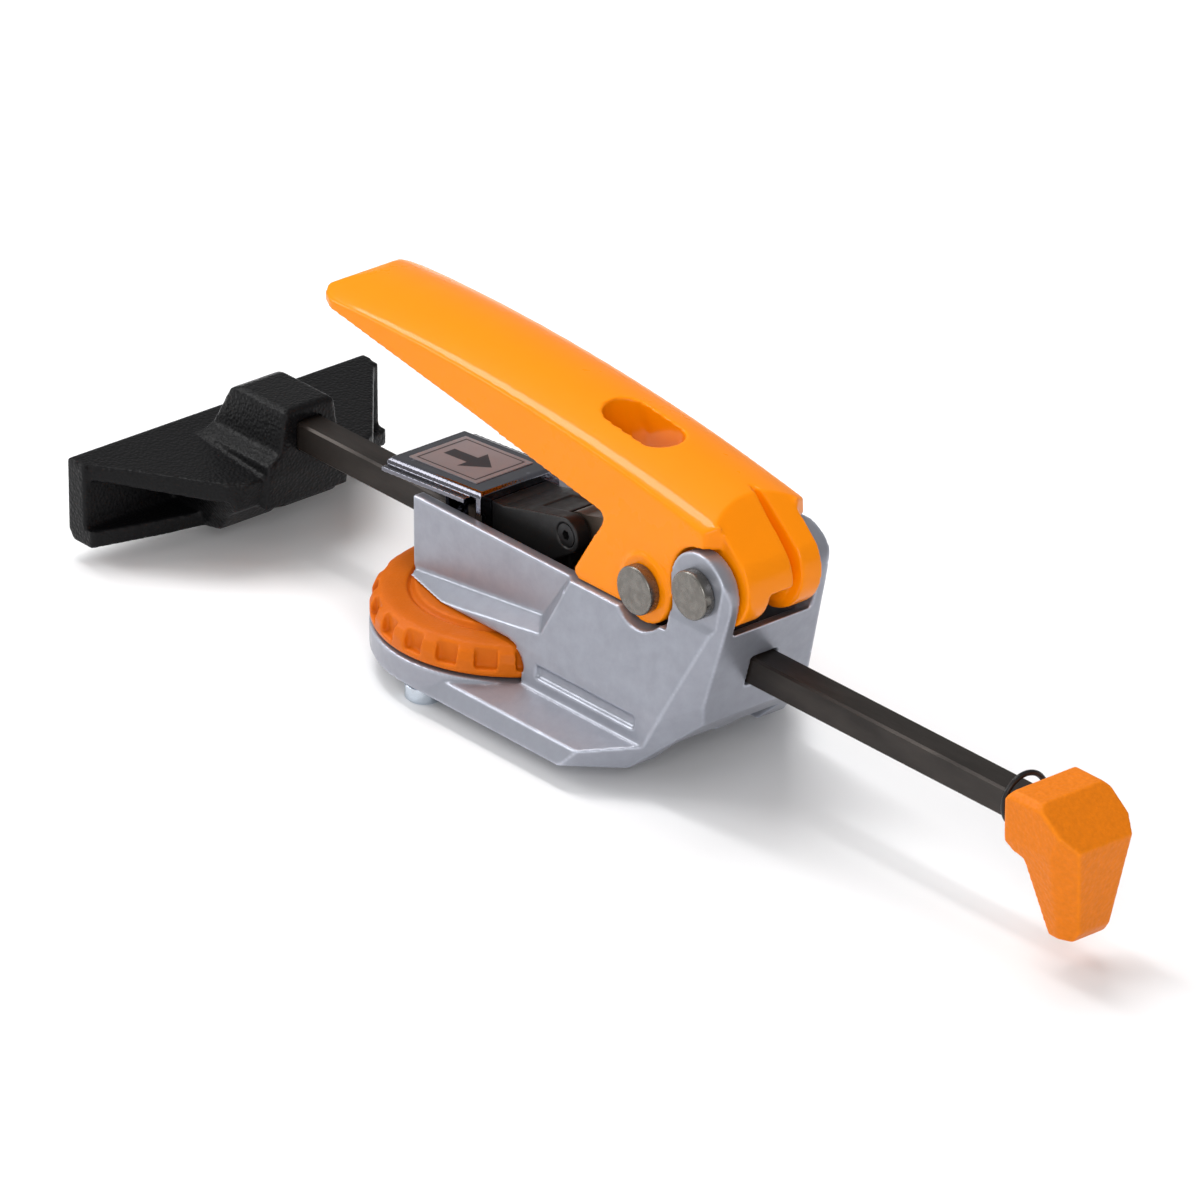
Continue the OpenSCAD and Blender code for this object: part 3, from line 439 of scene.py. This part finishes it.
class CLAMP_OT_pins(bpy.types.Operator):
    """Two large headed pins with rounded head edges, and the plain steel of the hidden pins, yoke and stud"""
    bl_idname = "clamp.pins"
    bl_label = "Headed pins"

    def execute(self, context):
        finishes, rounding = context.scene.clamp_finish, context.scene.clamp_rounding
        # edge and edge_light give lighter rims: partly worn steel, partly a painted highlight
        steel = finish("Plain pin steel", finishes.pin_steel, shade=0.68, cloud=420, gloss=0.2, dull=0.36,
                       metallic=0.9, grain=1600, pebble=0.3, depth=0.02, edge=0.4, edge_light=1.5)
        for node, body in (("pivot_pin", "base"), ("link_pin", "lever")):
            piece = self.turn(node, rounding)
            piece.name = node + "_turned"
            dress(piece, node, body, steel)
        coat_nodes(steel, "jaw_pin", "knob_pin", "draw_yoke", "draw_stud")
        return {"FINISHED"}

    def turn(self, node, rounding):
        """Turns one pin from a round head: its shank is extruded from the back, and the rims are bevelled."""
        low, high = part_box(node)
        centre = middle(node)
        face_y, end_y = low[1], high[1]
        head_y = face_y + rounding.pin_head
        head_r = (high[0] - low[0]) / 2
        shank_r = head_r - rounding.pin_shoulder
        bpy.ops.object.select_all(action="DESELECT")
        bpy.ops.mesh.primitive_cylinder_add(vertices=PIN_SIDES, radius=head_r, depth=rounding.pin_head,
                                            location=(centre.x, (face_y + head_y) / 2, centre.z),
                                            rotation=(math.radians(90), 0, 0))
        piece = bpy.context.active_object
        bpy.ops.object.transform_apply(location=True, rotation=True, scale=True)
        bpy.ops.object.mode_set(mode="EDIT")
        bpy.ops.mesh.select_mode(type="FACE")
        bpy.ops.mesh.select_all(action="DESELECT")
        bpy.ops.object.mode_set(mode="OBJECT")
        for face in piece.data.polygons:
            face.select = face.normal.y > 0.9
        bpy.ops.object.mode_set(mode="EDIT")
        bpy.ops.mesh.extrude_region_move()
        bpy.ops.transform.resize(value=(shank_r / head_r, 1, shank_r / head_r), center_override=centre)
        bpy.ops.mesh.extrude_region_move(TRANSFORM_OT_translate={"value": (0, end_y - head_y, 0)})
        bpy.ops.mesh.select_mode(type="EDGE")
        bpy.ops.mesh.select_all(action="DESELECT")
        bpy.ops.object.mode_set(mode="OBJECT")
        self.select_rims(piece, (face_y, head_y), end_y, (head_r + shank_r) / 2, centre)
        bpy.ops.object.mode_set(mode="EDIT")
        bpy.ops.mesh.bevel(offset=rounding.pin_edge, segments=4, profile=0.6)
        bpy.ops.mesh.select_all(action="SELECT")
        bpy.ops.mesh.normals_make_consistent(inside=False)
        bpy.ops.object.mode_set(mode="OBJECT")
        bpy.ops.object.shade_smooth_by_angle(angle=CRISP_ANGLE)
        return piece

    def select_rims(self, piece, head_ys, end_y, least_r, centre):
        """Selects the outer rims of the head and the rim at the shank's end."""
        points = piece.data.vertices
        for line in piece.data.edges:
            ends = [points[i].co for i in line.vertices]
            outer = all((p.xz - centre.xz).length > least_r for p in ends)
            on_head = any(all(abs(p.y - y) < ON_PLANE for p in ends) for y in head_ys)
            on_end = all(abs(p.y - end_y) < ON_PLANE for p in ends)
            line.select = on_end or (on_head and outer)


class CLAMP_OT_small_steel(bpy.types.Operator):
    """Small parts that keep their shape: clips, washer, springs, link, grip plates, bushes and clevis pin"""
    bl_idname = "clamp.small_steel"
    bl_label = "Small metal parts"

    def execute(self, context):
        finishes = context.scene.clamp_finish
        bright = finish("Bright steel", finishes.bright_steel, shade=0.8, cloud=300, gloss=0.14, dull=0.28,
                        metallic=1.0, grain=2200, depth=0.01)
        oiled = finish("Oiled steel", finishes.link_steel, shade=0.7, cloud=180, gloss=0.3, dull=0.5,
                       metallic=0.7, grain=1500, depth=0.03)
        bronze = finish("Bush bronze", finishes.bush_bronze, shade=0.85, cloud=220, gloss=0.25, dull=0.4,
                        metallic=0.9, grain=1800, depth=0.01)
        black = finish("Black spring wire", finishes.carriage_coat, shade=0.8, cloud=500, gloss=0.3,
                       dull=0.42, metallic=0.3, grain=1800, depth=0.01)
        coat_nodes(bright, "pivot_clip", "link_clip", "seat_washer", "grip_spring")
        coat_nodes(oiled, "push_link", "grip_plates")
        coat_nodes(bronze, "pivot_bushes", "wheel_insert")
        coat_nodes(black, "stop_ring", "clevis_pin")
        return {"FINISHED"}


class CLAMP_OT_carriage(bpy.types.Operator):
    """Black clevis block on the bar"""
    bl_idname = "clamp.carriage"
    bl_label = "Carriage"

    def execute(self, context):
        finishes, rounding = context.scene.clamp_finish, context.scene.clamp_rounding
        # edge and edge_light give lighter edges: partly worn coat, partly a painted highlight
        coat = finish("Black carriage coat", finishes.carriage_coat, shade=0.75, cloud=200, gloss=0.32,
                      dull=0.5, grain=1500, pebble=0.5, depth=0.03, edge=0.35, edge_light=2.2, specular=0.3)
        piece = rounded_copy("carriage", "carriage_block", rounding.carriage_grid, rounding.moulding_passes)
        dress(piece, "carriage", "carriage", coat)
        return {"FINISHED"}


class CLAMP_OT_cover(bpy.types.Operator):
    """Folded cover in black chrome with its plain film"""
    bl_idname = "clamp.cover"
    bl_label = "Carriage cover"

    def execute(self, context):
        finishes, rounding = context.scene.clamp_finish, context.scene.clamp_rounding
        # edge and edge_light give lighter edges: partly worn chrome, partly a painted highlight
        chrome = finish("Black chrome", finishes.cover_chrome, shade=0.8, cloud=150, gloss=0.06, dull=0.12,
                        metallic=1.0, grain=1500, pebble=0.5, depth=0.12, edge=0.6, edge_light=2.0)
        self.smooth_top(chrome)
        film = finish("Plain label film", finishes.label_film, shade=0.92, cloud=90, gloss=0.3, dull=0.38,
                      grain=1200, depth=0.01, specular=0.3)
        self.print_label(film, finishes.label_ink)
        piece = rounded_copy("carriage_cover", "cover_folded", rounding.cover_grid, rounding.cover_passes)
        dress(piece, "carriage_cover", "carriage", chrome)
        coat_nodes(film, "cover_label")
        return {"FINISHED"}

    def smooth_top(self, chrome):
        """Keeps the grain off level faces, so that the cover's top stays smooth."""
        nodes, link = chrome.node_tree.nodes, chrome.node_tree.links.new
        height = nodes["Bump"].inputs["Height"]
        grain = height.links[0].from_socket
        split = nodes.new("ShaderNodeSeparateXYZ")
        steep = nodes.new("ShaderNodeMapRange")
        steep.inputs["From Min"].default_value = LEVEL
        steep.inputs["From Max"].default_value = STEEP
        mask = nodes.new("ShaderNodeMath")
        mask.operation = "MULTIPLY"
        link(nodes.new("ShaderNodeNewGeometry").outputs["True Normal"], split.inputs["Vector"])
        link(split.outputs["Z"], steep.inputs["Value"])
        link(steep.outputs["Result"], mask.inputs[0])
        link(grain, mask.inputs[1])
        link(mask.outputs["Value"], height)

    def print_label(self, film, ink):
        """Prints a thin frame and a plain arrow along the bar on the label film."""
        low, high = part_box("cover_label")
        tree = film.node_tree
        nodes, link = tree.nodes, tree.links.new
        shader = nodes["Principled BSDF"]
        ground = shader.inputs["Base Color"].links[0].from_socket
        place = nodes.new("ShaderNodeTexCoord")
        fit = nodes.new("ShaderNodeMapping")
        fit.vector_type = "TEXTURE"
        fit.inputs["Location"].default_value = middle("cover_label")
        fit.inputs["Scale"].default_value = [(b - a) / 2 for a, b in zip(low, high)]
        marks = add_group(tree, "Label marks", build_label_marks)
        tint = nodes.new("ShaderNodeMix")
        tint.data_type = "RGBA"
        tint.inputs[MIX_B].default_value = ink
        link(place.outputs["Object"], fit.inputs["Vector"])
        link(fit.outputs["Vector"], marks.inputs["Vector"])
        link(marks.outputs["Ink"], tint.inputs["Factor"])
        link(ground, tint.inputs[MIX_A])
        link(tint.outputs[MIX_RESULT], shader.inputs["Base Color"])


class CLAMP_OT_bar(bpy.types.Operator):
    """Square bar in blackened drawn steel"""
    bl_idname = "clamp.bar"
    bl_label = "Push bar"

    def execute(self, context):
        steel = finish("Blackened bar steel", context.scene.clamp_finish.bar_steel, shade=0.6, cloud=160,
                       gloss=0.34, dull=0.5, metallic=0.6, grain=900, pebble=0.2, depth=0.02,
                       stretch=(0.25, 1, 1))
        coat_nodes(steel, "bar")
        return {"FINISHED"}


class CLAMP_OT_jaw(bpy.types.Operator):
    """Wide black jaw with a moulded grain"""
    bl_idname = "clamp.jaw"
    bl_label = "Jaw"

    def execute(self, context):
        finishes, rounding = context.scene.clamp_finish, context.scene.clamp_rounding
        # shade 1.8 on the fine cloud paints lighter specks, painted glints on the grain; edge and edge_light
        # give lighter edges, partly worn plastic and partly a painted highlight
        plastic = finish("Grained black plastic", finishes.jaw_plastic, shade=1.8, cloud=1400, gloss=0.3,
                         dull=0.45, grain=1100, pebble=0.7, depth=0.4, edge=0.5, edge_light=3.5,
                         specular=0.14)
        piece = rounded_copy("jaw", "jaw_moulding", rounding.jaw_grid, rounding.jaw_passes)
        dress(piece, "jaw", "bar", plastic)
        return {"FINISHED"}


class CLAMP_OT_knob(bpy.types.Operator):
    """Rear knob in pebbled plastic"""
    bl_idname = "clamp.knob"
    bl_label = "Rear knob"

    def execute(self, context):
        finishes, rounding = context.scene.clamp_finish, context.scene.clamp_rounding
        # edge and edge_light give lighter edges: partly worn plastic, partly a painted highlight
        plastic = finish("Pebbled knob plastic", finishes.knob_plastic, shade=0.88, cloud=700, gloss=0.36,
                         dull=0.48, grain=900, pebble=0.7, depth=0.3, edge=0.6, edge_light=1.5, specular=0.15)
        piece = rounded_copy("knob", "knob_moulding", rounding.knob_grid, rounding.knob_passes)
        dress(piece, "knob", "bar", plastic)
        return {"FINISHED"}


class CLAMP_OT_wheel(bpy.types.Operator):
    """Thumb wheel with rounded finger notches"""
    bl_idname = "clamp.wheel"
    bl_label = "Thumb wheel"

    def execute(self, context):
        finishes, rounding = context.scene.clamp_finish, context.scene.clamp_rounding
        # edge and edge_light give lighter edges: partly worn plastic, partly a painted highlight
        plastic = finish("Fine grained wheel plastic", finishes.wheel_plastic, shade=0.93, cloud=150,
                         gloss=0.4, dull=0.5, grain=1300, pebble=0.6, depth=0.14, edge=0.4, edge_light=1.4,
                         specular=0.15)
        piece = rounded_copy("thumb_wheel", "wheel_moulding", rounding.wheel_grid, rounding.moulding_passes)
        dress(piece, "thumb_wheel", "wheel", plastic)
        return {"FINISHED"}


class CLAMP_OT_track_bolts(bpy.types.Operator):
    """Slotted track bolts in bluish zinc"""
    bl_idname = "clamp.track_bolts"
    bl_label = "Track bolts"

    def execute(self, context):
        zinc = finish("Bluish zinc", context.scene.clamp_finish.bolt_zinc, shade=0.85, cloud=300, gloss=0.16,
                      dull=0.3, metallic=1.0, grain=1800, depth=0.01)
        coat_nodes(zinc, "t_bolts")
        return {"FINISHED"}


class CLAMP_OT_stage(bpy.types.Operator):
    """Pale floor, soft studio light and the camera"""
    bl_idname = "clamp.stage"
    bl_label = "Stage"

    def execute(self, context):
        stage = context.scene.clamp_stage
        self.floor(context, stage)
        self.lamp("top_softbox", where=(-0.57, 0.41, 1.33), width=0.9, power=stage.key, in_reflections=False)
        self.lamp("narrow_softbox", where=(-0.5, 0, 1.2), width=0.12, height=1.1, power=stage.strip)
        self.lamp("left_softbox", where=(-1.2, -0.85, 0.95), width=0.8, power=stage.left_fill)
        self.lamp("right_softbox", where=(1.3, -0.9, 0.8), width=0.8, power=stage.right_fill)
        self.sky(context, stage)
        self.camera(context, stage)
        return {"FINISHED"}

    def floor(self, context, stage):
        """A pale floor under the lowest point of the clamp."""
        lowest = CAD_BOX[0][2]
        bpy.ops.object.select_all(action="DESELECT")
        bpy.ops.mesh.primitive_plane_add(size=stage.floor_side, location=(0, 0, lowest))
        floor = context.active_object
        floor.name = "floor"
        bpy.ops.object.transform_apply(location=True)
        paper = finish("Pale floor paper", stage.floor_colour, shade=0.985, cloud=6, gloss=0.75, dull=0.85,
                       depth=0.0, specular=0.2)
        floor.data.materials.append(paper)

    def lamp(self, name, where, width, power, height=None, in_reflections=True):
        """One softbox aimed at the clamp, square unless it has a height, places and sizes in metres."""
        bpy.ops.object.light_add(type="AREA", location=where)
        lamp = bpy.context.active_object
        lamp.name = name
        lamp.data.shape = "RECTANGLE"
        lamp.data.size = width
        lamp.data.size_y = height or width
        lamp.data.energy = power
        lamp.rotation_euler = (LIT_POINT - Vector(where)).to_track_quat("-Z", "Y").to_euler()
        lamp.visible_glossy = in_reflections

    def sky(self, context, stage):
        """White light all round, weaker from behind."""
        world = bpy.data.worlds.new("Soft studio")
        world.use_nodes = True
        nodes, link = world.node_tree.nodes, world.node_tree.links.new
        sky = nodes["Background"]
        sky.inputs["Color"].default_value = (1, 1, 1, 1)
        way = nodes.new("ShaderNodeTexCoord")
        split = nodes.new("ShaderNodeSeparateXYZ")
        fade = nodes.new("ShaderNodeMapRange")
        fade.inputs["From Min"].default_value = -1
        fade.inputs["To Min"].default_value = stage.sky_front
        fade.inputs["To Max"].default_value = stage.sky_back
        link(way.outputs["Generated"], split.inputs["Vector"])
        link(split.outputs["Y"], fade.inputs["Value"])
        link(fade.outputs["Result"], sky.inputs["Strength"])
        context.scene.world = world

    def camera(self, context, stage):
        """The photograph's viewing angle and frame."""
        way = Vector((math.sin(stage.azimuth) * math.cos(stage.elevation),
                      -math.cos(stage.azimuth) * math.cos(stage.elevation), math.sin(stage.elevation)))
        bpy.ops.object.camera_add(location=Vector(stage.target) + way * stage.distance)
        camera = context.active_object
        camera.name = "photo_camera"
        camera.rotation_euler = (-way).to_track_quat("-Z", "Y").to_euler()
        camera.data.lens = stage.lens
        context.scene.camera = camera
        context.scene.view_settings.view_transform = "Standard"


GROUPS = {"clamp_finish": CLAMP_PG_finish, "clamp_rounding": CLAMP_PG_rounding, "clamp_stage": CLAMP_PG_stage}
PIECES = (CLAMP_OT_casting, CLAMP_OT_lever, CLAMP_OT_pins, CLAMP_OT_small_steel, CLAMP_OT_carriage,
          CLAMP_OT_cover, CLAMP_OT_bar, CLAMP_OT_jaw, CLAMP_OT_knob, CLAMP_OT_wheel, CLAMP_OT_track_bolts,
          CLAMP_OT_stage)


class CLAMP_PT_panel(bpy.types.Panel):
    """Lists the clamp's pieces and their values in the sidebar"""
    bl_idname = "CLAMP_PT_panel"
    bl_label = "T-track clamp"
    bl_space_type = "VIEW_3D"
    bl_region_type = "UI"
    bl_category = "Clamp"

    def draw(self, context):
        for piece in PIECES:
            self.layout.operator(piece.bl_idname)
        for name, group in GROUPS.items():
            box = self.layout.box()
            for value in group.__annotations__:
                box.prop(getattr(context.scene, name), value)


CLASSES = (*GROUPS.values(), *PIECES, CLAMP_PT_panel)


def register():
    """Registers the classes and gives the scene its property groups."""
    for cls in CLASSES:
        bpy.utils.register_class(cls)
    for name, cls in GROUPS.items():
        setattr(bpy.types.Scene, name, PointerProperty(type=cls))


def unregister():
    """Takes the property groups and the classes away again."""
    for name in GROUPS:
        delattr(bpy.types.Scene, name)
    for cls in reversed(CLASSES):
        bpy.utils.unregister_class(cls)


def main():
    """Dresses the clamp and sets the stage."""
    register()
    for piece in PIECES:
        family, name = piece.bl_idname.split(".")
        getattr(getattr(bpy.ops, family), name)()


if __name__ == "__main__":
    main()
